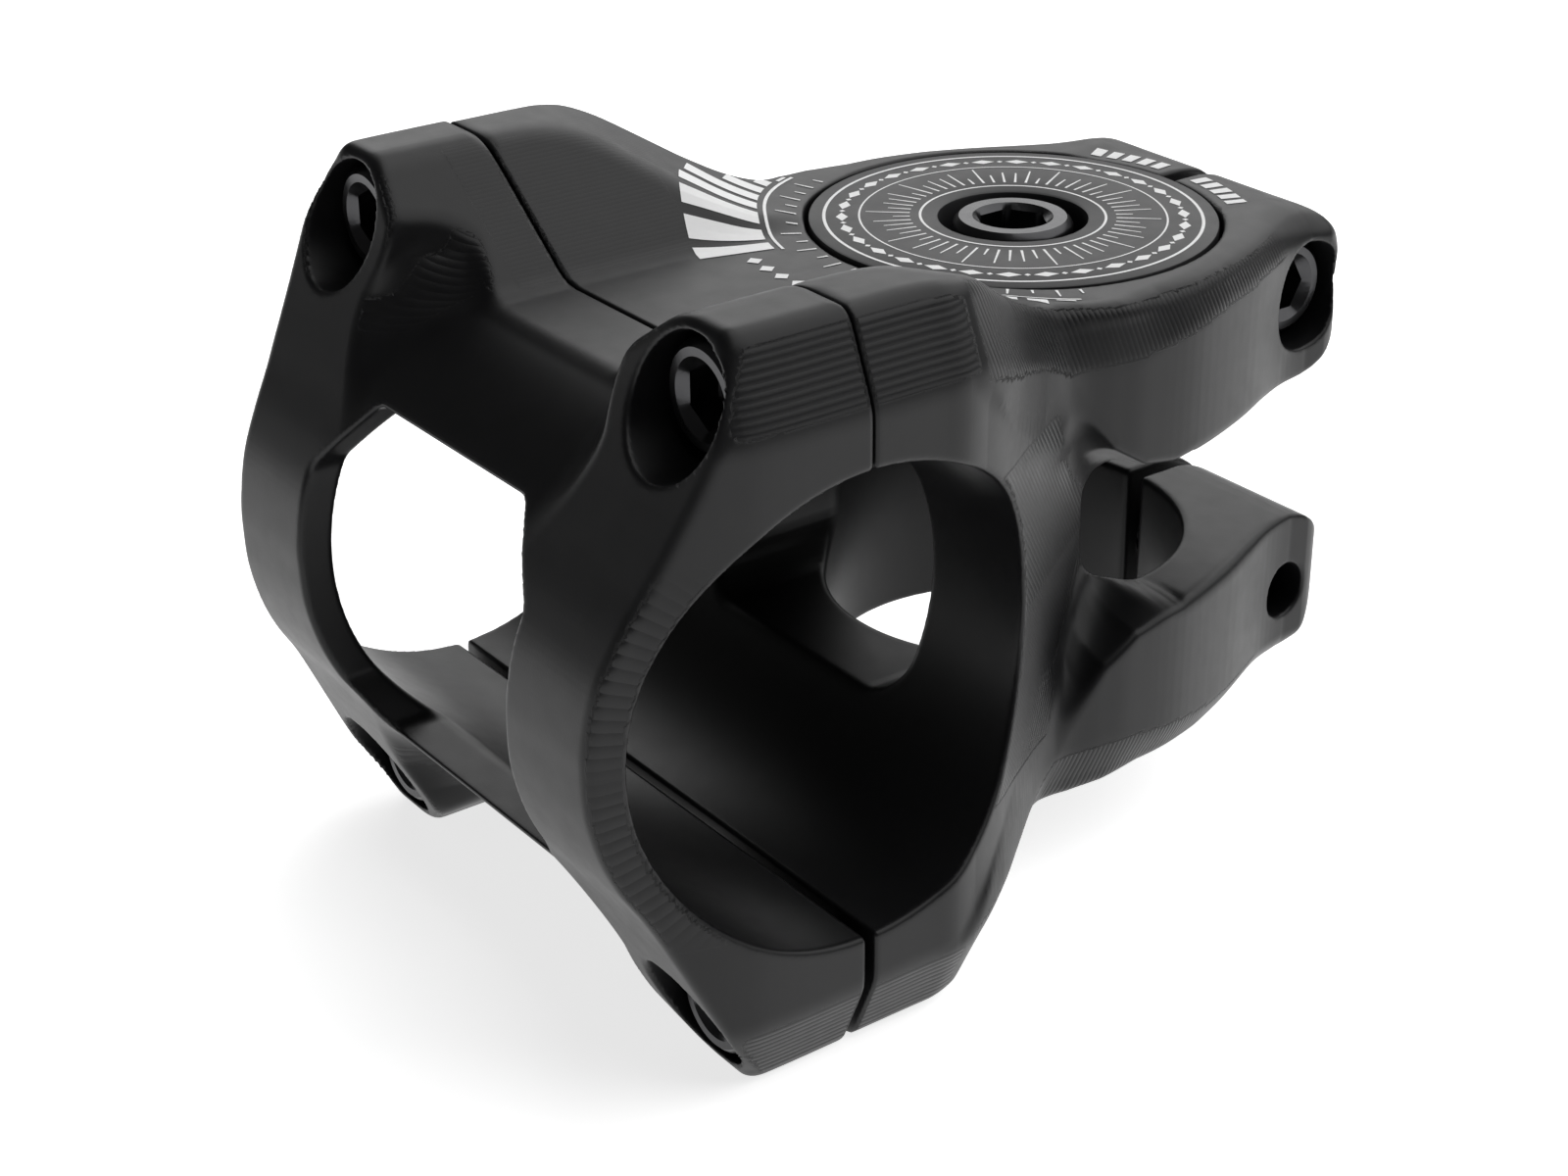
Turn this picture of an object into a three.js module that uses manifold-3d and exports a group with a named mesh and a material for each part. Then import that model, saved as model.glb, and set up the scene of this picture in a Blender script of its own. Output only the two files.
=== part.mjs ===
// Short bicycle handlebar stem: a machined body, a bolt-on faceplate and a cap let into its top.
// Millimetres. The origin is on the steerer axis at the underside of the steerer clamp.
// +Z runs up the steerer, -Y points forward, and +X runs along the handlebar to the rider's left.
// Left and right in the names are as seen from in front of the stem, so right is +X.
import * as THREE from "three";
import { mergeVertices } from "three/addons/utils/BufferGeometryUtils.js";
import Module from "manifold-3d";

const wasm = await Module();
wasm.setup();

// Sizes that the handlebar, the steerer and the screws set
const REACH = 35;
const STACK = 39.2;
const BAR_BORE_R = 17.5;
const STEERER_BORE_R = 14.3;
const CLAMP_HALF_WIDTH = 27.5;
const GAP = 0.3;

// Bar clamp, measured from the bar axis
const BOSS_HEIGHT = 28;
const SADDLE_HEIGHT = 19.9;
const BOLT_X = 21.4;
const BOLT_Z = 22.7;
const LOWER_PARTING_GAP = 0.8;
const WINDOW_HALF_HEIGHT = 13.4;
const BRIDGE_R = 20.4;
const BRIDGE_HALF_WIDTH = 14.4;

// Steerer clamp, measured from the bar axis
const HALF_STACK = STACK / 2;
const EAR_BACK = 59.1;
const EAR_ROUND_R = 6.2;
const NOTCH_HALF_HEIGHT = 6;
const NOTCH_FRONT = 30.8;
const NOTCH_FRONT_HALF_WIDTH = 13.7;
const SLIT_WIDTH = 1.6;
const PINCH_Y = 53.7;
const PINCH_Z = 12.8;
const PASSAGE_HALF_WIDTH = 12;
const PASSAGE_HALF_HEIGHT = 10.8;

// M5 screws and their washers, measured along the screw from its seat
const M5 = { r: 2.5, headR: 4.25, headHeight: 4.5, hex: 4, length: 16 };
const WASHER = { r: 4.5, holeR: 2.75, thickness: 1 };
const COUNTERBORE_R = 4.85;
const CLEARANCE_R = 2.8;
const FACEPLATE_SEAT_Y = -3;
const PINCH_SEAT_X = 5.2;

// Top cap and its M6 screw
const CAP = { r: 15.7, thickness: 3, plugR: 13.7, plugDepth: 3.4 };
const M6 = { r: 3, headR: 4.65, headHeight: 4.2, hex: 5, length: 28 };
const CAP_COUNTERBORE_R = 5.7;

// Facets on round surfaces
const BORE_SIDES = 72;
const HOLE_SIDES = 24;
const FAR = 80;

const anodised = new THREE.MeshStandardMaterial({ color: 0x1d1d1f, roughness: 0.42, metalness: 0.9 });
const capFinish = new THREE.MeshStandardMaterial({ color: 0x29292b, roughness: 0.45, metalness: 0.85 });
const blackSteel = new THREE.MeshStandardMaterial({ color: 0x141415, roughness: 0.3, metalness: 1 });
const washerSteel = new THREE.MeshStandardMaterial({ color: 0x3a3a3d, roughness: 0.35, metalness: 1 });

const X = new THREE.Vector3(1, 0, 0);
const Y = new THREE.Vector3(0, 1, 0);
const Z = new THREE.Vector3(0, 0, 1);

// A closed three.js geometry as a solid that can be cut and joined.
function solid(geometry) {
  const bare = geometry.clone();
  bare.deleteAttribute("normal");
  bare.deleteAttribute("uv");
  const merged = mergeVertices(bare, 1e-4);
  return new wasm.Manifold(
    new wasm.Mesh({
      numProp: 3,
      vertProperties: new Float32Array(merged.attributes.position.array),
      triVerts: new Uint32Array(merged.index.array),
    }),
  );
}

// A finished solid as a named mesh, moved from the bar axis, where it is drawn, to the part's own frame.
function piece(name, made, material) {
  const { vertProperties, triVerts } = made.getMesh();
  const geometry = new THREE.BufferGeometry();
  geometry.setAttribute("position", new THREE.BufferAttribute(vertProperties, 3));
  geometry.setIndex(new THREE.BufferAttribute(triVerts, 1));
  geometry.computeVertexNormals();
  const mesh = new THREE.Mesh(geometry, material);
  mesh.name = name;
  mesh.position.set(0, -REACH, HALF_STACK);
  return mesh;
}

// A closed profile pushed along an axis: drawn in (y, z) along x, in (x, z) along y, in (x, y) along z.
const PUSH = {
  x: new THREE.Matrix4().makeBasis(Y, Z, X),
  y: new THREE.Matrix4().makeBasis(X, Z, Y.clone().negate()),
  z: new THREE.Matrix4().makeBasis(X, Y, Z),
};
function prism(shape, axis, from, to) {
  const geometry = new THREE.ExtrudeGeometry(shape, {
    depth: to - from,
    bevelEnabled: false,
    curveSegments: 10,
  });
  geometry.translate(0, 0, axis === "y" ? -to : from);
  geometry.applyMatrix4(PUSH[axis]);
  return solid(geometry);
}

function outline(points) {
  return new THREE.Shape(points.map(([u, v]) => new THREE.Vector2(u, v)));
}

function rectangle(u0, v0, u1, v1) {
  return outline([[u0, v0], [u1, v0], [u1, v1], [u0, v1]]);
}

const mirrorU = (points) => points.map(([u, v]) => [-u, v]).reverse();
const mirrorV = (points) => points.map(([u, v]) => [u, -v]).reverse();

// Points on an arc, in degrees, from one angle to the other.
function arc(u, v, r, from, to, steps) {
  return Array.from({ length: steps + 1 }, (_, i) => {
    const a = THREE.MathUtils.degToRad(from + ((to - from) * i) / steps);
    return [u + r * Math.cos(a), v + r * Math.sin(a)];
  });
}

// A round bar along an axis: its centre is given in the other two axes, in x, y, z order.
function rod(r, axis, from, to, u, v, sides = HOLE_SIDES) {
  const geometry = new THREE.CylinderGeometry(r, r, to - from, sides);
  const middle = (from + to) / 2;
  if (axis === "x") {
    geometry.rotateZ(-Math.PI / 2);
    geometry.translate(middle, u, v);
  } else if (axis === "y") {
    geometry.translate(u, middle, v);
  } else {
    geometry.rotateX(Math.PI / 2);
    geometry.translate(u, v, middle);
  }
  return solid(geometry);
}

// Front view of the bar clamp, in (x, z): four bolt bosses with a saddle between each pair.
function clampFrontView() {
  const half = CLAMP_HALF_WIDTH;
  const quarter = [
    [8, SADDLE_HEIGHT],
    [11.8, 22.3],
    [17.6, 26.7],
    [20.2, BOSS_HEIGHT],
    [23.2, BOSS_HEIGHT],
    [24.7, 27.1],
    [27.2, 22.1],
    [half, 21.2],
  ];
  const top = [...mirrorU(quarter), ...quarter];
  return outline([...top, ...mirrorV(top)]);
}

// Side view of the body, in (y, z): bosses at the front, then the arms, then the round-ended ears.
function bodySideView() {
  const nose = arc(EAR_BACK - EAR_ROUND_R, HALF_STACK - EAR_ROUND_R, EAR_ROUND_R, 90, 0, 8);
  const top = [[-1, BOSS_HEIGHT], [9.5, BOSS_HEIGHT], [19.8, HALF_STACK], ...nose];
  return outline([...top, ...mirrorV(top)]);
}

// Plan view of the body, in (x, y): wide bar clamp, neck, swell around the steerer, ears.
function bodyPlanView() {
  const side = new THREE.SplineCurve(
    [
      [CLAMP_HALF_WIDTH, 8],
      [25.9, 12.6],
      [22.8, 17.4],
      [19.4, 21],
      [19.1, 24],
      [20.2, 29],
      [19.7, 36.5],
      [17.5, 43.5],
      [14.4, 50.5],
      [13.5, 54.1],
    ].map(([x, y]) => new THREE.Vector2(x, y)),
  );
  const right = [
    [CLAMP_HALF_WIDTH, -1],
    ...side.getPoints(30).map((p) => [p.x, p.y]),
    ...arc(8.5, EAR_BACK - 5, 5, 10, 90, 6),
  ];
  return outline([...right, ...mirrorU(right)]);
}

// Notch between the ears, in (y, z), with mouths that round over onto the ears.
function notchSideView() {
  const wide = NOTCH_HALF_HEIGHT + EAR_ROUND_R;
  const mouth = arc(EAR_BACK - EAR_ROUND_R, wide, EAR_ROUND_R, -90, 0, 8);
  const top = [[NOTCH_FRONT, NOTCH_HALF_HEIGHT], ...mouth, [FAR, wide]];
  return outline([...top, ...mirrorV(top)]);
}

// Pocket in each side of the body: a V in side view whose floor slopes in to the notch.
function sidePockets() {
  const sideView = outline([
    [8, 12],
    [15.5, 14.2],
    [20, 12.3],
    [25.4, 8.8],
    [NOTCH_FRONT + 1, NOTCH_HALF_HEIGHT],
    [NOTCH_FRONT + 1, -NOTCH_HALF_HEIGHT - 0.4],
    [26.2, -10.3],
    [21.5, -16.3],
    [15.5, -23.2],
    [8, -14],
  ]);
  const floor = [
    [NOTCH_FRONT_HALF_WIDTH, NOTCH_FRONT],
    [22.9, 17.3],
    [FAR, -FAR],
    [FAR, FAR],
    [NOTCH_FRONT_HALF_WIDTH, FAR],
  ];
  const right = prism(outline(floor), "z", -FAR, FAR);
  const left = prism(outline(mirrorU(floor)), "z", -FAR, FAR);
  return prism(sideView, "x", -FAR, FAR).intersect(right.add(left));
}

// Passage from the bar bore to the steerer bore, in (x, z), with rounded corners.
function passageFrontView() {
  const w = PASSAGE_HALF_WIDTH;
  const h = PASSAGE_HALF_HEIGHT;
  const corner = 3.5;
  const right = [
    ...arc(w - corner, corner - h, corner, -90, 0, 4),
    ...arc(w - corner, h - corner, corner, 0, 90, 4),
  ];
  return outline([...right, ...mirrorU(right)]);
}

// Holes of the screw that pulls the ears together. `side` is where its head is: +1 right, -1 left.
function pinchHoles(side, z) {
  const head = [PINCH_SEAT_X * side, FAR * side].sort((a, b) => a - b);
  return rod(COUNTERBORE_R, "x", head[0], head[1], PINCH_Y, z, 32).add(
    rod(CLEARANCE_R, "x", -FAR, FAR, PINCH_Y, z),
  );
}

function stemBody() {
  let made = prism(clampFrontView(), "y", GAP / 2, 22);
  made = made.add(prism(rectangle(-FAR, -HALF_STACK, FAR, HALF_STACK), "y", 21, EAR_BACK + 1));
  made = made.intersect(prism(bodySideView(), "x", -FAR, FAR));
  made = made.intersect(prism(bodyPlanView(), "z", -FAR, FAR));
  const cuts = [
    rod(BAR_BORE_R, "x", -FAR, FAR, 0, 0, BORE_SIDES),
    rod(STEERER_BORE_R, "z", -FAR, FAR, 0, REACH, BORE_SIDES),
    rod(CAP.r + GAP, "z", HALF_STACK - CAP.thickness - GAP, FAR, 0, REACH, BORE_SIDES),
    prism(notchSideView(), "x", -FAR, FAR),
    sidePockets(),
    prism(passageFrontView(), "y", 5, REACH),
    prism(rectangle(-SLIT_WIDTH / 2, REACH, SLIT_WIDTH / 2, FAR), "z", -FAR, FAR),
    prism(rectangle(-FAR, -FAR, FAR, 0), "y", -FAR, LOWER_PARTING_GAP / 2),
    pinchHoles(1, PINCH_Z),
    pinchHoles(-1, -PINCH_Z),
  ];
  const threadDepth = FACEPLATE_SEAT_Y - WASHER.thickness - 2 * GAP + M5.length + 1;
  for (const x of [-BOLT_X, BOLT_X]) {
    for (const z of [-BOLT_Z, BOLT_Z]) {
      cuts.push(rod(CLEARANCE_R, "y", -FAR, threadDepth, x, z));
    }
  }
  return cuts.reduce((left, cut) => left.subtract(cut), made);
}

// Side view of the faceplate, in (y, z): sloping boss faces above and below, and the arms' round front.
function faceplateSideView() {
  return outline([
    [-GAP / 2, BOSS_HEIGHT + 1],
    [-9, BOSS_HEIGHT + 1],
    [-13.2, 18],
    [-16.2, 12.8],
    [-18.5, 8.4],
    [-20, 3.6],
    [-20.3, 0],
    [-20, -3.6],
    [-18.5, -8.4],
    [-16.2, -12.2],
    [-13.5, -17.5],
    [-8, -BOSS_HEIGHT - 1],
    [-LOWER_PARTING_GAP / 2, -BOSS_HEIGHT - 1],
    [-LOWER_PARTING_GAP / 2, 0],
    [-GAP / 2, 0],
  ].reverse());
}

function faceplatePlanView() {
  const right = [
    [23.9, -21],
    [25.2, -16],
    [26.9, -11.5],
    [CLAMP_HALF_WIDTH, -8],
    [CLAMP_HALF_WIDTH, 1],
  ];
  return outline([...right, ...mirrorU(right)]);
}

// Window in the faceplate, in (x, z): six sides, narrower at the top.
function windowFrontView() {
  const h = WINDOW_HALF_HEIGHT;
  const right = [
    [11, -h],
    [13.8, -9.5],
    [14.4, 8],
    [9.6, h],
  ];
  return outline([...right, ...mirrorU(right)]);
}

// What is cut away between the bosses, so that only a thin bridge follows the bar there.
function bridgeRelief() {
  const w = BRIDGE_HALF_WIDTH;
  const bridge = rod(BRIDGE_R, "x", -w - 1, w + 1, 0, 0, BORE_SIDES);
  return prism(rectangle(-FAR, -FAR, 0, FAR), "x", -w, w).subtract(bridge);
}

function faceplate() {
  let made = prism(clampFrontView(), "y", -24, 0);
  made = made.intersect(prism(faceplateSideView(), "x", -FAR, FAR));
  made = made.intersect(prism(faceplatePlanView(), "z", -FAR, FAR));
  const cuts = [
    rod(BAR_BORE_R, "x", -FAR, FAR, 0, 0, BORE_SIDES),
    prism(windowFrontView(), "y", -FAR, -5),
    bridgeRelief(),
  ];
  for (const x of [-BOLT_X, BOLT_X]) {
    for (const z of [-BOLT_Z, BOLT_Z]) {
      cuts.push(rod(COUNTERBORE_R, "y", -FAR, FACEPLATE_SEAT_Y, x, z, 32));
      cuts.push(rod(CLEARANCE_R, "y", -FAR, FAR, x, z));
    }
  }
  return cuts.reduce((left, cut) => left.subtract(cut), made);
}

// A cap screw standing on its seat: head up along +Z from 0, shank down, hexagon socket in the head.
function capScrew({ r, headR, headHeight, hex, length }) {
  const chamfer = 0.45;
  const profile = [
    [0, -length],
    [r - chamfer, -length],
    [r, -length + chamfer],
    [r, 0],
    [headR, 0],
    [headR, headHeight - chamfer],
    [headR - chamfer, headHeight],
    [0, headHeight],
  ];
  const screw = new THREE.LatheGeometry(outline(profile).getPoints(), HOLE_SIDES);
  screw.rotateX(Math.PI / 2);
  const socketDepth = headHeight * 0.62;
  const socket = rodAcrossFlats(hex, headHeight - socketDepth, headHeight + 1);
  return solid(screw).subtract(socket);
}

function rodAcrossFlats(flats, from, to) {
  return rod(flats / Math.sqrt(3), "z", from, to, 0, 0, 6);
}

function washer() {
  const { r, holeR, thickness } = WASHER;
  return rod(r, "z", 0, thickness, 0, 0).subtract(rod(holeR, "z", -1, thickness + 1, 0, 0));
}

// Turns a solid made along +Z so that +Z points along `direction`, and moves it to a place.
function placed(made, direction, place) {
  const turn = new THREE.Quaternion().setFromUnitVectors(Z, direction);
  const matrix = new THREE.Matrix4().compose(place, turn, new THREE.Vector3(1, 1, 1));
  return made.transform(matrix.toArray());
}

// A screw and its washer on a seat, each a gap above what is under it.
function screwAndWasher(suffix, prefix, seat, direction) {
  const onSeat = seat.clone().addScaledVector(direction, GAP);
  const onWasher = onSeat.clone().addScaledVector(direction, WASHER.thickness + GAP);
  return [
    piece(`${prefix}_bolt_${suffix}`, placed(capScrew(M5), direction, onWasher), blackSteel),
    piece(`${prefix}_washer_${suffix}`, placed(washer(), direction, onSeat), washerSteel),
  ];
}

function topCap() {
  const top = HALF_STACK;
  const under = top - CAP.thickness;
  return rod(CAP.r, "z", under, top, 0, REACH, BORE_SIDES)
    .add(rod(CAP.plugR, "z", under - CAP.plugDepth, under, 0, REACH, BORE_SIDES))
    .subtract(rod(CAP_COUNTERBORE_R, "z", top - M6.headHeight - GAP, FAR, 0, REACH, 36))
    .subtract(rod(M6.r + GAP, "z", -FAR, FAR, 0, REACH));
}

const stem = new THREE.Group();
stem.name = "handlebar_stem";
stem.add(piece("stem_body", stemBody(), anodised));
stem.add(piece("faceplate", faceplate(), anodised));
stem.add(piece("top_cap", topCap(), capFinish));

const capSeat = new THREE.Vector3(0, REACH, HALF_STACK - M6.headHeight);
stem.add(piece("top_cap_bolt", placed(capScrew(M6), Z, capSeat), blackSteel));

const FORWARD = Y.clone().negate();
for (const [height, z] of [["upper", BOLT_Z], ["lower", -BOLT_Z]]) {
  for (const [side, x] of [["right", BOLT_X], ["left", -BOLT_X]]) {
    const seat = new THREE.Vector3(x, FACEPLATE_SEAT_Y, z);
    stem.add(...screwAndWasher(`${height}_${side}`, "faceplate", seat, FORWARD));
  }
}
for (const [height, side] of [["upper", 1], ["lower", -1]]) {
  const seat = new THREE.Vector3(side * PINCH_SEAT_X, PINCH_Y, side * PINCH_Z);
  stem.add(...screwAndWasher(height, "pinch", seat, X.clone().multiplyScalar(side)));
}

export default stem;
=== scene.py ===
"""A short bicycle handlebar stem: machined body and faceplate in satin black, black screws, printed cap.

Shapes are drawn in millimetres about the handlebar's axis: x along the bar, -y forward, z up the steerer.
The body and the faceplate are fields of distance, negative inside, turned into meshes by a surface net.
"""
import math

import bpy
import numpy as np
from mathutils import Matrix, Vector


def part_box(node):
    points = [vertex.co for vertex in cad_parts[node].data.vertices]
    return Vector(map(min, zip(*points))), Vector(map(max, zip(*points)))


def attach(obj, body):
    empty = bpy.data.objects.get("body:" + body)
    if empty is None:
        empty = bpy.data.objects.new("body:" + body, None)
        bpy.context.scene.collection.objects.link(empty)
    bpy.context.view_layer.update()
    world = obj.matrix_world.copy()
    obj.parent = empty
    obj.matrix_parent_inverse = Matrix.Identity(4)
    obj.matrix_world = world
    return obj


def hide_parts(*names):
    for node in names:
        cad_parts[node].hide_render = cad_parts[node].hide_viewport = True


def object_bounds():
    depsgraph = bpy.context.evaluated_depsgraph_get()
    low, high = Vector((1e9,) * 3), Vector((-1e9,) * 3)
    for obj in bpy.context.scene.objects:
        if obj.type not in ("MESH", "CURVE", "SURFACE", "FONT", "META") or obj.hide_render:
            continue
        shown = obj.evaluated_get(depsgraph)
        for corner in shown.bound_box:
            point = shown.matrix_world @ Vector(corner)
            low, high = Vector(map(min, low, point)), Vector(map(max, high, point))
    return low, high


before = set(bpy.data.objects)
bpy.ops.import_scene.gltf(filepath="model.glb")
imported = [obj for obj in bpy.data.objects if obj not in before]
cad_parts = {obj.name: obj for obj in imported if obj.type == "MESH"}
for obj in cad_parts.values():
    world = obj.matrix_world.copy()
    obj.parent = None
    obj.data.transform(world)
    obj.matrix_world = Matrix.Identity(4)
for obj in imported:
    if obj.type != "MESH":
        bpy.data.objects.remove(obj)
CAD_BOX = [[float(c) for c in corner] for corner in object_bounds()]

MM = 0.001

# Sizes read from the frame
BODY_LOW, BODY_HIGH = (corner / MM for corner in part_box("stem_body"))
CAP_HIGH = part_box("top_cap")[1] / MM
BAR_HEIGHT = (BODY_LOW.z + BODY_HIGH.z) / 2
HALF_WIDTH = (BODY_HIGH.x - BODY_LOW.x) / 2
BOSS_HEIGHT = (BODY_HIGH.z - BODY_LOW.z) / 2
HALF_STACK = CAP_HIGH.z - BAR_HEIGHT
CAP_R = CAP_HIGH.x

# Sizes that the handlebar, the steerer and the screws set
REACH = 35
BAR_BORE_R = 17.5
STEERER_BORE_R = 14.3
GAP = 0.3  # between pieces that the frame keeps apart
UPPER_PARTING_GAP = 0.16
LOWER_PARTING_GAP = 0.8
COUNTERBORE_R = 4.5
PINCH_COUNTERBORE_R = 4.3
CLEARANCE_R = 2.8
THREAD_HOLE_R = 2.3
BOLT_X = 21.4
BOLT_Z = 22.7
BOLT_HOLE_DEPTH = 12
FACEPLATE_SEAT_Y = -3
PINCH_Y = 53.7
PINCH_Z = 12.8
PINCH_SEAT_X = 5.2
PINCH_THREAD_START = 10
M5 = {"r": 2.5, "head_r": 3.9, "head_height": 4.5, "socket": 4, "mouth": 2.8, "length": 16, "pitch": 0.8}
M6 = {"r": 3, "head_r": 4.65, "head_height": 4.2, "socket": 5, "mouth": 3.1, "length": 28, "pitch": 1.0}
WASHER = {"r": 4.2, "hole_r": 2.75, "thickness": 1}

# Outside of the body
BACK_SLOPE = {"height": 25.55, "outward": 0.28, "back": -0.45}
EAR_BACK = 59.1
EAR_ROUND_R = 6.2
NOTCH_HALF_HEIGHT = 6
NOTCH_FRONT = 32.5
NOTCH_CORNER_R = 4
POCKET_FRONT = 9.9
POCKET_BACK = 36
POCKET_SLOPE = 0.66
PASSAGE_HALF_WIDTH = 12
PASSAGE_HALF_HEIGHT = 10.8
SLIT_HALF_WIDTH = 0.75

# Outside of the faceplate
FACEPLATE_DEPTH = 22.5
BRIDGE_R = 20.4

# Cap
CAP_THICKNESS = 3
CAP_PLUG_R = 13.7
CAP_PLUG_DEPTH = 3.4
CAP_COUNTERBORE_R = 5.7

# How finely the fields are sampled, and a place well outside every piece
STEP = 0.27
FAR = 80


# ---------------------------------------------------------------- outlines

def unit(v):
    return v / np.linalg.norm(v)


def rounded(corners, steps=8):
    """A closed outline from (u, v, radius) corners, each one an arc that touches both of its sides."""
    path = []
    for i, (u, v, r) in enumerate(corners):
        here = np.array((u, v), float)
        if r == 0:
            path.append(here)
            continue
        before = unit(np.array(corners[i - 1][:2]) - here)
        after = unit(np.array(corners[(i + 1) % len(corners)][:2]) - here)
        half = math.acos(np.clip(before @ after, -1, 1)) / 2
        centre = here + unit(before + after) * r / math.sin(half)
        first = here + before * r / math.tan(half) - centre
        last = here + after * r / math.tan(half) - centre
        start = math.atan2(first[1], first[0])
        turn = (math.atan2(last[1], last[0]) - start + math.pi) % (2 * math.pi) - math.pi
        for share in np.linspace(0, 1, steps + 1):
            a = start + turn * share
            path.append(centre + r * np.array((math.cos(a), math.sin(a))))
    return np.array(path)


def smooth_curve(points, steps=6):
    """A curve through every point, Catmull-Rom."""
    p = np.array([points[0], *points, points[-1]], float)
    t = np.linspace(0, 1, steps, endpoint=False)[:, None]
    parts = []
    for a, b, c, d in zip(p, p[1:], p[2:], p[3:]):
        square = a - 2.5 * b + 2 * c - d / 2
        cube = 1.5 * (b - c) + (d - a) / 2
        parts.append(b + t * (c - a) / 2 + t**2 * square + t**3 * cube)
    return np.vstack([*parts, p[-1:]])


def arc(u, v, r, start, end, count):
    """Points on an arc about (u, v), from one angle to another in degrees."""
    angle = np.radians(np.linspace(start, end, count))
    return np.stack([u + r * np.cos(angle), v + r * np.sin(angle)], axis=1)


def with_left_side(right):
    """The right half of an outline, going round from one end to the other, and its mirror image."""
    right = [tuple(p) for p in right]
    return right + [(-p[0], *p[1:]) for p in reversed(right)]


def with_underside(top):
    """The upper half of an outline, going round from one end to the other, and its mirror image."""
    top = [tuple(p) for p in top]
    return top + [(p[0], -p[1], *p[2:]) for p in reversed(top)]


# ---------------------------------------------------------------- fields

class Grid:
    """Sample points through a box. x, y and z are the coordinates, shaped so that they broadcast."""

    def __init__(self, low, high):
        self.low = np.array(low, float)
        counts = np.ceil((np.array(high) - self.low) / STEP).astype(int) + 1
        x, y, z = (start + STEP * np.arange(n, dtype=np.float32) for start, n in zip(self.low, counts))
        self.x = x[:, None, None]
        self.y = y[None, :, None]
        self.z = z[None, None, :]


def inside(u, v, path):
    """Distance from each (u, v) to a closed outline, negative inside."""
    u, v = np.broadcast_arrays(u, v)
    nearest = np.full(u.shape, np.inf, np.float32)
    within = np.zeros(u.shape, bool)
    path = np.asarray(path, float)
    for (u0, v0), (u1, v1) in zip(path, np.roll(path, -1, axis=0)):
        du, dv = u1 - u0, v1 - v0
        if du == 0 and dv == 0:
            continue
        t = np.clip(((u - u0) * du + (v - v0) * dv) / (du * du + dv * dv), 0, 1)
        nearest = np.minimum(nearest, (u - u0 - t * du) ** 2 + (v - v0 - t * dv) ** 2)
        if dv != 0:
            within ^= ((v0 > v) != (v1 > v)) & (u < u0 + (v - v0) * du / dv)
    return (np.where(within, -1, 1) * np.sqrt(nearest)).astype(np.float32)


def both(a, b, k=0.3):
    """What is inside both fields, with the edge between them rounded over about k."""
    blend = np.maximum(k - np.abs(a - b), 0) / k
    return np.maximum(a, b) + blend * blend * (k / 4)


def either(a, b, k=0.3):
    return -both(-a, -b, k)


def cut(a, b, k=0.3):
    """Field a with what is inside b taken away."""
    return both(a, -b, k)


def round_bar(u, v, r, u0=0, v0=0):
    """Distance to a round bar about (u0, v0)."""
    return np.sqrt((u - u0) ** 2 + (v - v0) ** 2) - r


def sample(values, grid, points):
    """The field at any points, by trilinear interpolation."""
    place = (points - grid.low) / STEP
    base = np.clip(place.astype(int), 0, np.array(values.shape) - 2)
    f = place - base
    total = np.zeros(len(points))
    for corner in np.ndindex(2, 2, 2):
        weight = np.prod(np.where(corner, f, 1 - f), axis=1)
        i, j, k = (base + corner).T
        total += weight * values[i, j, k]
    return total


def gradient(values, grid, points):
    """The direction in which the field grows at any points, by how fast it grows."""
    reach = STEP * 0.5
    slopes = []
    for axis in np.eye(3):
        ahead = sample(values, grid, points + reach * axis)
        behind = sample(values, grid, points - reach * axis)
        slopes.append((ahead - behind) / (2 * reach))
    return np.stack(slopes, axis=1)


def settle(vertices, values, grid):
    """Moves the vertices onto the surface, and gives the outward directions there."""
    least_slope = 0.3
    for _ in range(2):
        slope = gradient(values, grid, vertices)
        size = np.maximum(np.linalg.norm(slope, axis=1, keepdims=True), least_slope)
        shift = sample(values, grid, vertices)[:, None] * slope / size**2
        vertices = vertices - np.clip(shift, -STEP / 3, STEP / 3)
    slope = gradient(values, grid, vertices)
    size = np.linalg.norm(slope, axis=1, keepdims=True)
    return vertices, slope / np.maximum(size, 1e-9)


def surface_net(values, grid):
    """Vertices, quads and outward directions of the surface where the field is 0."""
    solid = values < 0
    corners = [np.array(c) for c in np.ndindex(2, 2, 2)]
    span = np.array(values.shape) - 1
    filled = np.zeros(span, np.int8)
    for c in corners:
        filled += solid[tuple(slice(start, start + size) for start, size in zip(c, span))]
    mixed = (filled > 0) & (filled < 8)
    cells = np.argwhere(mixed)
    number = np.full(mixed.shape, -1)
    number[mixed] = np.arange(len(cells))

    total = np.zeros((len(cells), 3))
    hits = np.zeros(len(cells))
    for axis in np.eye(3, dtype=int):
        for c in corners:
            if c @ axis:
                continue
            a = values[tuple((cells + c).T)]
            b = values[tuple((cells + c + axis).T)]
            crosses = (a < 0) != (b < 0)
            share = np.where(crosses, a / np.where(crosses, a - b, 1), 0)
            total[crosses] += (c + share[:, None] * axis)[crosses]
            hits += crosses
    vertices = grid.low + (cells + total / hits[:, None]) * STEP

    quads = []
    step = np.eye(3, dtype=int)
    for axis in range(3):
        here = solid[tuple(slice(0, -1) if a == axis else slice(1, -1) for a in range(3))]
        there = solid[tuple(slice(1, None) if a == axis else slice(1, -1) for a in range(3))]
        for first, second in ((here, there), (there, here)):
            edges = np.argwhere(first & ~second)
            edges = edges + np.where(np.arange(3) == axis, 0, 1)
            p, q = step[(axis + 1) % 3], step[(axis + 2) % 3]
            around = [edges - p - q, edges - q, edges, edges - p]
            quad = np.stack([number[tuple(cell.T)] for cell in around], axis=1)
            quads.append(quad if first is here else quad[:, ::-1])

    vertices, outward = settle(vertices, values, grid)
    return vertices, np.vstack(quads), outward


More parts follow.
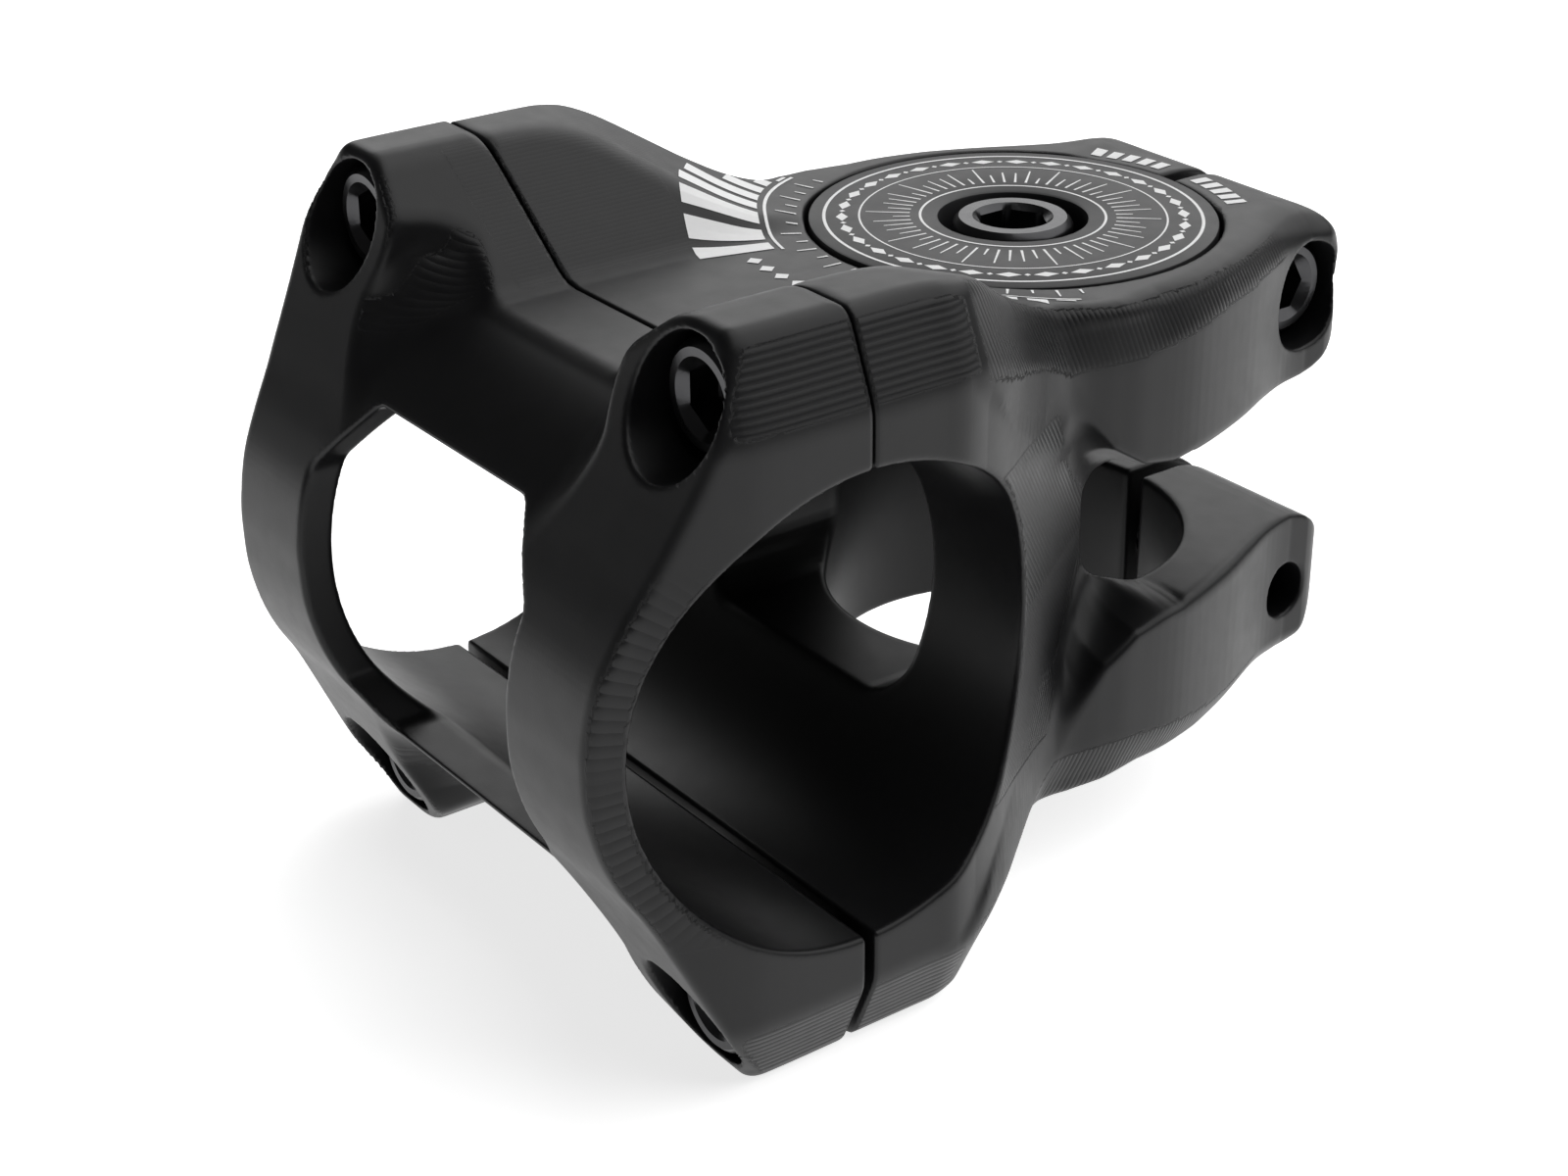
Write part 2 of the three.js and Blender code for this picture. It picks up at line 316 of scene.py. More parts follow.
# ---------------------------------------------------------------- meshes

def in_frame(points):
    """Points about the bar axis, in millimetres, as points of the frame, in metres."""
    return (np.asarray(points, float) + (0, -REACH, BAR_HEIGHT)) * MM


def new_piece(name, points, faces, body, node, material, sharp=None):
    mesh = bpy.data.meshes.new(name)
    mesh.from_pydata(in_frame(points).tolist(), [], [list(map(int, f)) for f in faces])
    mesh.polygons.foreach_set("use_smooth", [True] * len(mesh.polygons))
    if sharp is not None:
        mesh.set_sharp_from_angle(angle=math.radians(sharp))
    mesh.materials.append(material)
    piece = bpy.data.objects.new(name, mesh)
    bpy.context.scene.collection.objects.link(piece)
    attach(piece, body)
    if node:
        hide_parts(node)
    return piece


def add_values(piece, name, values):
    attribute = piece.data.attributes.new(name, "FLOAT", "POINT")
    attribute.data.foreach_set("value", np.asarray(values, np.float32))


def from_field(name, values, grid, cutter_lines, material):
    """A piece from a field. cutter_lines gives each vertex's line number and line depth."""
    points, faces, outward = surface_net(values, grid)
    piece = new_piece(name + "_form", points, faces, name, name, material)
    piece.data.normals_split_custom_set_from_vertices(outward.tolist())
    number, depth = cutter_lines(points, outward)
    add_values(piece, "line_number", number)
    add_values(piece, "line_depth", depth)
    return piece


def rings_mesh(radii, heights, closed):
    """Points and quads of stacked rings about z. Each ring is a row of radii and a row of heights."""
    count, sides = radii.shape
    angle = 2 * np.pi * np.arange(sides) / sides
    points = np.stack([radii * np.cos(angle), radii * np.sin(angle), heights], axis=2).reshape(-1, 3)
    faces = []
    for i in range(count if closed else count - 1):
        a, b = i * sides, (i + 1) % count * sides
        for j in range(sides):
            k = (j + 1) % sides
            faces.append((a + j, a + k, b + k, b + j))
    if not closed:
        faces.append(tuple(reversed(range(sides))))
        faces.append(tuple(range((count - 1) * sides, count * sides)))
    return points, faces


def lathe(profile, sides):
    """A closed (radius, height) profile, drawn anticlockwise, turned about z."""
    profile = np.array(profile, float)
    radii = np.repeat(profile[:, :1], sides, axis=1)
    heights = np.repeat(profile[:, 1:], sides, axis=1)
    return rings_mesh(radii, heights, True)


def placed(points, seat, direction):
    """Points made along +z from 0, moved so that +z runs along a direction from a seat."""
    turn = np.array(Vector((0, 0, 1)).rotation_difference(Vector(direction)).to_matrix())
    return points @ turn.T + np.array(seat)


# ---------------------------------------------------------------- body

def body_plan_side():
    """The body's right side in plan, from the parting plane back to the middle of the rear face."""
    side = smooth_curve(
        [
            (HALF_WIDTH, -3),
            (HALF_WIDTH, 5),
            (HALF_WIDTH, 8.3),
            (26.6, 11.4),
            (25, 14.5),
            (23.2, 17.3),
            (21.3, 20.2),
            (20, 22.8),
            (19.6, 25),
            (20, 28),
            (20.2, 31),
            (19.7, 36.5),
            (17.5, 43.5),
            (14.4, 50.5),
            (13.5, 54.1),
        ]
    )
    corner_r = 3.5
    return np.vstack([side, arc(10, EAR_BACK - corner_r, corner_r, 10, 90, 8)])


def clamp_front():
    """The clamp seen from the front: a boss on each side of a saddle, above and below."""
    quarter = [(8.3, HALF_STACK, 4), (19.2, BOSS_HEIGHT, 5), (HALF_WIDTH + 3, BOSS_HEIGHT, 0)]
    left = [(-x, z, r) for x, z, r in reversed(quarter)]
    return rounded(with_underside(left + quarter))


def arm_side():
    """The arm seen from the side, back to the ears' round noses."""
    return rounded(with_underside([(-5, HALF_STACK, 0), (EAR_BACK, HALF_STACK, EAR_ROUND_R)]), steps=12)


def back_slope_height(x, y):
    """Height of the slope behind a boss, which falls backwards and also inwards."""
    return BACK_SLOPE["height"] + BACK_SLOPE["outward"] * np.abs(x) + BACK_SLOPE["back"] * y


def bosses(g):
    """The bosses' flat tops and the slopes behind them, above the height of the arm."""
    steepness = math.sqrt(1 + BACK_SLOPE["outward"] ** 2 + BACK_SLOPE["back"] ** 2)
    slope = (np.abs(g.z) - back_slope_height(g.x, g.y)) / steepness
    top = both(np.abs(g.z) - BOSS_HEIGHT, slope, 2.0)
    return both(top, g.y - REACH)


def notch_side():
    """The notch between the ears, seen from the side: round in front, with a mouth that opens out."""
    wide = NOTCH_HALF_HEIGHT + EAR_ROUND_R
    r = NOTCH_CORNER_R
    front = arc(NOTCH_FRONT + r, NOTCH_HALF_HEIGHT - r, r, 180, 90, 8)
    mouth = arc(EAR_BACK - EAR_ROUND_R, wide, EAR_ROUND_R, -90, 0, 10)
    return with_underside([*front, *mouth, (FAR, wide)])


def pocket_wall_x(y):
    """Where the flat wall of the side pocket runs in plan."""
    return HALF_WIDTH - POCKET_SLOPE * (y - POCKET_FRONT)


def pocket_height(x, y):
    """Half height of the side pocket, which is least on its wall and opens out to the body's side."""
    side = body_plan_side()
    side_x = np.interp(y, side[:, 1], side[:, 0])
    on_wall = np.interp(
        y,
        [8, 11.6, 16.6, 19.7, 23, 26.3, 28.4, 31, POCKET_BACK],
        [20, 17.8, 14.2, 12.1, 10.9, 9.4, 7.6, 5.8, 3],
    )
    on_side = np.interp(
        y,
        [8, 11, 14, 17.2, 20.8, 23.7, 25.7, 28.1, 31, POCKET_BACK],
        [20, 18.4, 18, 17.4, 15.9, 14.3, 12, 8.8, 6.9, NOTCH_HALF_HEIGHT],
    )
    wall_x = pocket_wall_x(y)
    share = np.clip((np.abs(x) - wall_x) / np.maximum(side_x - wall_x, 0.6), 0, 1.8)
    return on_wall + share * (on_side - on_wall)


def side_pockets(g):
    """The space beside the neck: a flat wall that leans inwards going back, and a roof and floor."""
    wall = (pocket_wall_x(g.y) - np.abs(g.x)) / math.hypot(1, POCKET_SLOPE)
    height = pocket_height(g.x, g.y)
    steepness = np.sqrt(1 + sum(d**2 for d in np.gradient(height[:, :, 0], STEP)))[:, :, None]
    roof = (np.abs(g.z) - height) / steepness
    pocket = both(wall, roof, np.interp(g.y, [20, 30], [0.6, 4]))
    return both(pocket, g.y - POCKET_BACK, 0.3)


def edge_band(g, plan, side_top):
    """The bevel along the outer edge: wide beside the bosses, steep round the neck, slight at the ears."""
    inset = np.interp(g.y, [9.5, 17, 22, 26, 29, 33, 40, 50], [2.75, 3.0, 1.9, 1.0, 0.9, 1.5, 1.3, 1.9])
    drop = np.interp(g.y, [9.5, 17, 22, 26, 30, 34, 40, 46], [6.4, 4.8, 3.8, 3.5, 3.5, 2.9, 1.8, 1.6])
    return (plan / inset + (np.abs(g.z) - side_top) / drop + 1) / np.sqrt(1 / inset**2 + 1 / drop**2)


def band_round(g, side_top):
    """How much the bevel's edges are rounded: softly along its top, hardly at all along its foot."""
    return np.interp(np.abs(g.z) - side_top, [-4, -1.5], [0.4, 1.3])


def stem_body_field(g):
    """The body: its outer form first, then everything that is cut from it."""
    plan = inside(g.x, g.y, with_left_side(body_plan_side()))
    side = either(inside(g.y, g.z, arm_side()), bosses(g), 2.5)
    front = inside(g.x, g.z, clamp_front())
    edge_x = np.interp(g.y, body_plan_side()[:, 1], body_plan_side()[:, 0]) - 3
    side_top = np.clip(back_slope_height(edge_x, g.y), HALF_STACK, BOSS_HEIGHT)

    nose = np.clip((g.y - 47) / 8, 0, 1)
    made = both(front, side, 0.8)
    made = both(made, plan, 0.5 + 1.2 * nose)
    made = both(made, edge_band(g, plan, side_top), band_round(g, side_top))
    made = cut(made, side_pockets(g), 0.6 + 1.4 * np.clip((14 - g.y) / 4, 0, 1))
    made = cut(made, inside(g.y, g.z, notch_side()), 1.3 - nose)
    made = cut(made, round_bar(g.y, g.z, BAR_BORE_R), 0.5)
    corner_r = 3.5
    low, high = -PASSAGE_HALF_HEIGHT, PASSAGE_HALF_HEIGHT
    passage = rounded(
        with_left_side([(PASSAGE_HALF_WIDTH, low, corner_r), (PASSAGE_HALF_WIDTH, high, corner_r)])
    )
    made = cut(made, both(inside(g.x, g.z, passage), g.y - REACH), 0.6)
    made = cut(made, round_bar(g.x, g.y, STEERER_BORE_R, 0, REACH), 0.5)
    recess = both(round_bar(g.x, g.y, CAP_R + GAP, 0, REACH), HALF_STACK - CAP_THICKNESS - GAP - g.z)
    made = cut(made, recess, 0.3)
    made = cut(made, both(np.abs(g.x) - SLIT_HALF_WIDTH, REACH - g.y), 0.4)
    made = cut(made, g.y - parting(g), 0.2)
    hole = both(round_bar(np.abs(g.x), np.abs(g.z), CLEARANCE_R, BOLT_X, BOLT_Z), g.y - BOLT_HOLE_DEPTH)
    made = cut(made, hole, 0.4)
    for side_sign in (1, -1):
        made = cut_pinch_holes(made, g, side_sign)
    return made


def parting(g):
    """How far each half stops short of the bar's middle: hardly at all above, where the screws close it."""
    return np.where(g.z > 0, UPPER_PARTING_GAP / 2, LOWER_PARTING_GAP / 2)


def cut_pinch_holes(made, g, side):
    """One pinch screw's holes: counterbore on its head's side, plain hole, threaded hole beyond."""
    from_axis = np.sqrt((g.y - PINCH_Y) ** 2 + (g.z - side * PINCH_Z) ** 2)
    along = side * g.x
    made = cut(made, both(from_axis - PINCH_COUNTERBORE_R, PINCH_SEAT_X - along), 0.3)
    made = cut(made, both(from_axis - CLEARANCE_R, -PINCH_THREAD_START - along), 0.3)
    return cut(made, from_axis - THREAD_HOLE_R, 0.3)


# ---------------------------------------------------------------- faceplate

# The front of the faceplate seen from the side, from above its top to below its foot
FACEPLATE_FRONT = [
    (-6.4, 33),
    (-9.05, 28),
    (-11.3, 22.5),
    (-13.4, 18),
    (-16, 13),
    (-18.1, 9.2),
    (-19.5, 6),
    (-20.2, 2.5),
    (-20.3, 0),
    (-20.1, -3),
    (-19.3, -6.2),
    (-18.1, -9),
    (-16.2, -12.2),
    (-13.6, -17.5),
    (-11.6, -21.6),
    (-8.3, -28),
    (-5.8, -33),
]


def faceplate_plan():
    """The faceplate seen from above, narrower towards the front."""
    side = smooth_curve(
        [
            (HALF_WIDTH, 3),
            (HALF_WIDTH, -7),
            (27, -11),
            (25.6, -15.2),
            (24.8, -17.3),
            (23.2, -23),
        ]
    )
    return with_left_side(side)


def window_front():
    """The window seen from the front: six sides, narrower at the top."""
    return rounded(with_left_side([(11, -13.4, 1.5), (13.8, -9.5, 1.5), (14.4, 8, 1.5), (9.7, 13.4, 1.5)]))


def band_inner_x(z):
    """Inner edge of the faceplate's front band: round the boss, then along the arm."""
    boss_r = 6.6
    boss_foot = 19.4
    height = np.abs(z) - BOLT_Z
    round_boss = BOLT_X - np.sqrt(np.maximum(boss_r**2 - height**2, 0))
    arm = np.interp(np.abs(z), [0, 12, 16, boss_foot], [17.4, 17.2, 16.5, 15.7])
    return np.where(np.abs(z) > boss_foot, round_boss, arm)


def between_arms(g):
    """What the faceplate keeps between its front bands, above and below.

    The bridge goes round the bar, a slope leads up to the saddle, a facet lies against each boss,
    and the bands' inner walls lean.
    """
    bridge = round_bar(g.y, g.z, BRIDGE_R)
    steep = 1.47
    saddle_slope = (np.abs(g.z) - 28.9 - steep * g.y) / math.hypot(1, steep)
    keep = either(bridge, saddle_slope, 0.8)
    beside_boss = (1.08 * np.abs(g.z) - 0.99 * np.abs(g.x) - g.y - 17.24) / 1.77
    keep = either(keep, beside_boss, 1.0)
    heights = [z for _, z in reversed(FACEPLATE_FRONT)]
    front_y = np.interp(g.z, heights, [y for y, _ in reversed(FACEPLATE_FRONT)])
    lean = np.interp(np.abs(g.z), [0, 12, 16, 22], [1.5, 1.9, 1.1, 0.15])
    wall_x = band_inner_x(g.z) - lean * (g.y - front_y)
    wall = (wall_x - np.abs(g.x)) / np.sqrt(1 + lean**2)
    return either(keep, wall, 1.6)


def faceplate_field(g):
    """The faceplate: its outer form first, then everything that is cut from it."""
    back = [(3, -33), (3, 33)]
    side = inside(g.y, g.z, np.vstack([smooth_curve(FACEPLATE_FRONT), back]))
    front = inside(g.x, g.z, clamp_front())
    plan = inside(g.x, g.y, faceplate_plan())

    made = both(front, side, 0.8)
    made = both(made, plan, 0.8)
    made = both(made, edge_band(g, plan, BOSS_HEIGHT), band_round(g, BOSS_HEIGHT))
    made = both(made, between_arms(g), 0.5)
    made = cut(made, both(inside(g.x, g.z, window_front()), g.y + 5), 0.4)
    made = cut(made, round_bar(g.y, g.z, BAR_BORE_R), 0.5)
    made = both(made, g.y + parting(g), 0.2)
    from_bolt = round_bar(np.abs(g.x), np.abs(g.z), 0, BOLT_X, BOLT_Z)
    made = cut(made, both(from_bolt - COUNTERBORE_R, g.y - FACEPLATE_SEAT_Y), 0.25)
    return cut(made, from_bolt - CLEARANCE_R, 0.3)


# ---------------------------------------------------------------- cutter lines

def facing(outward, direction, least=0.94):
    """1 where a surface faces a direction, falling to 0 at its edges."""
    return np.clip((outward @ unit(np.array(direction, float)) - least) / (1 - least) * 2, 0, 1)


def fade(values, low, high, width=0.4):
    """1 between low and high, falling to 0 at both."""
    return np.clip((values - low) / width, 0, 1) * np.clip((high - values) / width, 0, 1)


def cutter_lines(points, outward):
    """Each vertex's place across the lines that the cutter left, and how deep they are there."""
    x, y, z = np.abs(points[:, 0]), points[:, 1], np.abs(points[:, 2])
    out = outward * np.where(points < 0, -1, 1) * (1, 0, 1) + outward * (0, 1, 0)
    from_bar = np.hypot(y, z)
    outside = from_bar > BAR_BORE_R + 0.4
    ribbon = (out[:, 0] > 0.3) * (out[:, 2] > 0.12) * (out[:, 2] < 0.8) * outside
    arm_end = (out[:, 0] > 0.6) * outside * (y < -6)
    along_arm = np.arctan2(z, -y) * BRIDGE_R
    wall = facing(out, (0.835, 0.551, 0), 0.97)

    # Each family of lines: the place across them in line spacings, and their depth from 0 to about 1
    families = [
        (z / 0.5, facing(out, (0.911, 0, 0.413), 0.97) * fade(z, 21.9, 27.2) * (y < 9)),
        (x / 0.3, 0.16 * facing(out, (-0.59, 0, 0.81), 0.96) * fade(y, -4, 12)),
        (x / 0.34, 0.12 * facing(out, (-0.25, 0.4, 0.88), 0.97) * fade(y, 3, 14)),
        ((y + 0.25 * z) / 0.44, 0.9 * ribbon * fade(y, 9.6, 50, 1.5)),
        ((y + 0.8 * z) / 0.5, 0.7 * wall * fade(y, 9.6, 31) * fade(z, -1, 13)),
        ((x + y) / 0.55, 0.6 * facing(out, (-0.56, -0.56, 0.61), 0.93) * fade(z, 17, 27)),
        (along_arm / 0.95, 1.3 * arm_end * fade(z, -1, 14, 3)),
    ]
    number = np.zeros(len(points))
    depth = np.zeros(len(points))
    for phase, weight in families:
        stronger = weight > depth
        number = np.where(stronger, phase, number)
        depth = np.where(stronger, weight, depth)
    return number, depth


# ---------------------------------------------------------------- screws, washers and cap

def cap_screw(r, head_r, head_height, socket, mouth, length, pitch):
    """A cap screw with its seat at 0: head up with a hexagon socket, threaded shank down."""
    sides = 72
    angle = 2 * np.pi * np.arange(sides) / sides
    around = np.ones(sides)
    hexagon = socket / 2 / np.cos((angle + np.pi / 6) % (np.pi / 3) - np.pi / 6)
    floor = head_height * 0.38
    chamfer = 0.5
    rings = [
        (hexagon * 0.02, floor - 0.5),
        (hexagon, floor),
        (hexagon, head_height - 0.75 * (mouth - socket / 2)),
        (around * (mouth - 0.08), head_height - 0.08),
        (around * mouth, head_height),
        (around * (head_r - chamfer), head_height),
        (around * (head_r - 0.12), head_height - chamfer * 0.72),
        (around * head_r, head_height - chamfer - 0.12),
        (around * head_r, 0.15),
        (around * (head_r - 0.15), 0),
        (around * (r + 0.25), 0),
        (around * r, -0.35),
    ]
    thread_depth = 0.54 * pitch
    per_turn = 10
    thread_top = -1.2
    for height in np.arange(thread_top, -length + 0.6, -pitch / per_turn):
        phase = (height / pitch - angle / (2 * np.pi)) % 1
        run_out = np.clip((thread_top - height) / pitch, 0, 1)
        run_out *= np.clip((height + length - 0.5) / pitch, 0.3, 1)
        rings.append((r - thread_depth * run_out * (1 - np.abs(2 * phase - 1)) ** 1.2, height))
    rings.append((around * (r - thread_depth * 0.7), -length + 0.4))
    rings.append((around * (r - thread_depth - 0.3), -length))
    radii = np.array([ring[0] for ring in rings])[::-1]
    tops = np.array([around * ring[1] for ring in rings])[::-1]
    points, faces = rings_mesh(radii, tops, False)
    return points, faces


def washer_mesh():
    r, hole_r, thickness = WASHER["r"], WASHER["hole_r"], WASHER["thickness"]
    c = 0.12
    profile = [
        (hole_r, c),
        (hole_r + c, 0),
        (r - c, 0),
        (r, c),
        (r, thickness - 2 * c),
        (r - 2 * c, thickness),
        (hole_r + c, thickness),
        (hole_r, thickness - c),
    ]
    return lathe(profile, 64)


def cap_mesh():
    """The top cap: a printed disc with a counterbore, and the thin-walled plug under it."""
    top = HALF_STACK
    under = top - CAP_THICKNESS
    floor = top - M6["head_height"] - GAP
    foot = under - CAP_PLUG_DEPTH
    hole = M6["r"] + GAP
    c = 0.22
    profile = [
        (hole, foot + 0.4),
        (hole + 0.4, foot),
        (CAP_PLUG_R - 0.5, foot),
        (CAP_PLUG_R, foot + 0.5),
        (CAP_PLUG_R, under),
        (CAP_R - 0.15, under),
        (CAP_R, under + 0.15),
        (CAP_R, top - c),
        (CAP_R - c * 0.3, top - c * 0.3),
        (CAP_R - c, top),
        (CAP_COUNTERBORE_R + 0.3, top),
        (CAP_COUNTERBORE_R + 0.08, top - 0.1),
        (CAP_COUNTERBORE_R, top - 0.3),
        (CAP_COUNTERBORE_R, floor),
        (hole, floor),
    ]
    points, faces = lathe(profile, 192)
    return points + (0, REACH, 0), faces


def screw_and_washer(suffix, prefix, seat, direction, steel, washer_steel):
    """One M5 screw and its washer, on a seat that faces a direction."""
    seat = np.array(seat, float)
    direction = np.array(direction, float)
    washer = f"{prefix}_washer_{suffix}"
    bolt = f"{prefix}_bolt_{suffix}"
    on_seat = seat + GAP * direction
    on_washer = on_seat + (WASHER["thickness"] + GAP) * direction
    points, faces = washer_mesh()
    points = placed(points, on_seat, direction)
    new_piece(washer + "_ring", points, faces, washer, washer, washer_steel, 30)
    points, faces = cap_screw(**M5)
    points = placed(points, on_washer, direction)
    new_piece(bolt + "_screw", points, faces, bolt, bolt, steel, 35)


def all_screws(steel, washer_steel):
    for height, z in (("upper", BOLT_Z), ("lower", -BOLT_Z)):
        for side, x in (("right", BOLT_X), ("left", -BOLT_X)):
            seat = (x, FACEPLATE_SEAT_Y, z)
            screw_and_washer(f"{height}_{side}", "faceplate", seat, (0, -1, 0), steel, washer_steel)
    for height, side in (("upper", 1), ("lower", -1)):
        seat = (side * PINCH_SEAT_X, PINCH_Y, side * PINCH_Z)
        screw_and_washer(height, "pinch", seat, (side, 0, 0), steel, washer_steel)
    bolt = "top_cap_bolt"
    points, faces = cap_screw(**M6)
    points = placed(points, (0, REACH, HALF_STACK - M6["head_height"]), (0, 0, 1))
    new_piece(bolt + "_screw", points, faces, bolt, bolt, steel, 35)


# ---------------------------------------------------------------- print

INK_HEIGHT = 0.02


class Print:
    """Flat marks of ink about the steerer axis. Angles are in degrees from straight ahead, to the right."""

    def __init__(self):
        self.points = []
        self.faces = []

    def patch(self, corners):
        start = len(self.points)
        self.points += [(x, y, HALF_STACK + INK_HEIGHT) for x, y in corners]
        self.faces.append(tuple(range(start, start + len(corners))))

    def at(self, r, degrees):
        a = math.radians(degrees)
        return r * math.sin(a), REACH - r * math.cos(a)

    def dash(self, r0, r1, degrees, width):
        """A radial mark from r0 to r1, as wide all along, with its far end narrower."""
        a = math.radians(degrees)
        side = np.array((math.cos(a), math.sin(a))) * width / 2
        near, far = np.array(self.at(r0, degrees)), np.array(self.at(r1, degrees))
        self.patch([near - side, far - side * 0.6, far + side * 0.6, near + side])

    def ring(self, r0, r1, start=0, end=360):
        """Part of a ring, in patches small enough to follow a curved surface."""
        angles = np.linspace(start, end, max(2, int(abs(end - start) / 2.5)) + 1)
        radii = np.linspace(r0, r1, max(1, int((r1 - r0) / 0.5)) + 1)
        for a, b in zip(angles, angles[1:]):
            for near, far in zip(radii, radii[1:]):
                self.patch([self.at(near, a), self.at(far, a), self.at(far, b), self.at(near, b)])

    def lozenge(self, r, degrees, length, width):
        a = math.radians(degrees)
        along = np.array((math.cos(a), math.sin(a))) * length / 2
        out = np.array((math.sin(a), -math.cos(a))) * width / 2
        middle = np.array(self.at(r, degrees))
        self.patch([middle - along, middle + out, middle + along, middle - out])

    def drape(self, values, grid):
        """Lays the marks on the top of a field's solid."""
        points = np.array(self.points)
        height = np.full(len(points), HALF_STACK - 1.0)
        for z in np.arange(BOSS_HEIGHT + 0.5, HALF_STACK - 1, -0.1):
            points[:, 2] = z
            solid = sample(values, grid, points) < 0
            height = np.where(solid & (height < z), z, height)
        points[:, 2] = height
        for _ in range(3):
            points[:, 2] -= sample(values, grid, points)
        points[:, 2] += 2 * INK_HEIGHT
        self.points = [tuple(p) for p in points]

    def piece(self, name, body, material):
        return new_piece(name, self.points, self.faces, body, None, material)


def cap_print(ink):
    """Rings, rays and a border of lozenges round the cap's counterbore."""
    marks = Print()
    marks.ring(7.0, 7.2)
    for i in range(60):
        marks.dash(7.9, 9.2 + 1.1 * (i % 2) + 0.5 * (i % 3), i * 6, 0.2)
    marks.ring(11.7, 11.85)
    for i in range(30):
        marks.lozenge(13.1, i * 12, 1.9, 0.95)
        marks.lozenge(13.1, i * 12 + 6, 0.5, 0.5)
    marks.ring(14.35, 14.6)
    marks.piece("cap_print", "top_cap", ink)


def fan_bar(marks, degrees, side):
    """One bar of the fan in front of the cap, cut off where the body's side comes close."""
    farthest_side = 16.8
    half_angle = 2.1
    reach = min(25.5, farthest_side / math.sin(math.radians(degrees)))
    marks.ring(19.6, reach, side * (degrees - half_angle), side * (degrees + half_angle))


def body_print(ink, values, grid):
    """Two fans of plain bars in front of the cap, rays round it, and short bars at the back."""
    marks = Print()
    for side in (-1, 1):
        for i in range(8):
            fan_bar(marks, 17 + 6.2 * i, side)
        marks.ring(18.9, 19.15, side * 14, side * 64)
        for i in range(5):
            middle = side * (154 + 4.6 * i)
            marks.ring(17.0, 18.6, middle - 1.5, middle + 1.5)
    for i in range(-11, 12):
        marks.dash(16.6, 18.2 - 0.7 * (i % 2), i * 6, 0.22)
    for i in range(-2, 3):
        marks.lozenge(22, i * 5, 1.3, 1.3)
    marks.drape(values, grid)
    marks.piece("body_print", "stem_body", ink)


# ---------------------------------------------------------------- materials

class Nodes:
    """A material and short ways to add nodes to it."""

    def __init__(self, name):
        self.material = bpy.data.materials.new(name)
        self.material.use_nodes = True
        self.tree = self.material.node_tree
        self.shader = self.tree.nodes["Principled BSDF"]

    def add(self, kind, inputs=(), **settings):
        node = self.tree.nodes.new(kind)
        for key, value in settings.items():
            setattr(node, key, value)
        for key, value in dict(inputs).items():
            if isinstance(value, bpy.types.NodeSocket):
                self.tree.links.new(value, node.inputs[key])
            else:
                node.inputs[key].default_value = value
        return node

    def math(self, operation, a, b=0.0):
        return self.add("ShaderNodeMath", {0: a, 1: b}, operation=operation).outputs[0]

    def noise(self, scale, detail=2.0):
        place = self.add("ShaderNodeTexCoord").outputs["Object"]
        inputs = {"Vector": place, "Scale": scale, "Detail": detail}
        return self.add("ShaderNodeTexNoise", inputs).outputs["Fac"]

    def spread(self, value, low, high):
        """A 0 to 1 value as a value from low to high."""
        inputs = {"Value": value, "To Min": low, "To Max": high}
        return self.add("ShaderNodeMapRange", inputs).outputs["Result"]

    def colour_between(self, value, dark, light):
        mix = self.add("ShaderNodeMix", {"Factor": value}, data_type="RGBA")
        mix.inputs["A"].default_value = (*dark, 1)
        mix.inputs["B"].default_value = (*light, 1)
        return mix.outputs["Result"]

    def bump(self, height, distance):
        normal = self.add("ShaderNodeBump", {"Height": height, "Distance": distance}).outputs["Normal"]
        self.set("Normal", normal)

    def set(self, key, value):
        if isinstance(value, bpy.types.NodeSocket):
            self.tree.links.new(value, self.shader.inputs[key])
        else:
            self.shader.inputs[key].default_value = value


def anodised_material():
    """Satin black anodising over machined aluminium, with the cutter's lines left in it."""
    n = Nodes("satin_black_anodising")
    n.set("Specular IOR Level", 0.31)
    n.set("Base Color", n.colour_between(n.noise(90), (0.003, 0.003, 0.0034), (0.005, 0.005, 0.0056)))
    n.set("Roughness", n.spread(n.noise(600, 4.0), 0.34, 0.44))
    number = n.add("ShaderNodeAttribute", attribute_name="line_number").outputs["Fac"]
    depth = n.add("ShaderNodeAttribute", attribute_name="line_depth").outputs["Fac"]
    ridges = n.math("ABSOLUTE", n.math("SINE", n.math("MULTIPLY", number, math.pi)))
    lines = n.math("MULTIPLY", ridges, depth)
    grain = n.math("MULTIPLY", n.noise(9000, 1.0), 0.12)
    n.bump(n.math("ADD", lines, grain), 0.035 * MM)
    return n.material


def cap_material():
    """The cap's finish, a little lighter than the body, with faint lathe rings."""
    n = Nodes("satin_black_cap")
    n.set("Specular IOR Level", 0.36)
    n.set("Base Color", n.colour_between(n.noise(120), (0.0095, 0.0095, 0.0105), (0.014, 0.014, 0.015)))
    n.set("Roughness", n.spread(n.noise(700, 4.0), 0.4, 0.5))
    n.bump(n.math("MULTIPLY", n.noise(9000, 1.0), 0.5), 0.01 * MM)
    return n.material


def black_steel_material():
    """Black oxide on the screws, with a faint uneven sheen."""
    n = Nodes("black_oxide_steel")
    n.set("Metallic", 1.0)
    n.set("Base Color", n.colour_between(n.noise(400), (0.05, 0.05, 0.052), (0.075, 0.075, 0.078)))
    n.set("Roughness", n.spread(n.noise(900, 4.0), 0.24, 0.34))
    n.bump(n.noise(2600, 3.0), 0.012 * MM)
    return n.material


def washer_material():
    """The washers' dark steel, a little brighter than the screws."""
    n = Nodes("dark_washer_steel")
    n.set("Metallic", 1.0)
    n.set("Base Color", n.colour_between(n.noise(500), (0.05, 0.05, 0.053), (0.09, 0.09, 0.095)))
    n.set("Roughness", n.spread(n.noise(800, 4.0), 0.28, 0.4))
    n.bump(n.noise(3000, 3.0), 0.01 * MM)
    return n.material


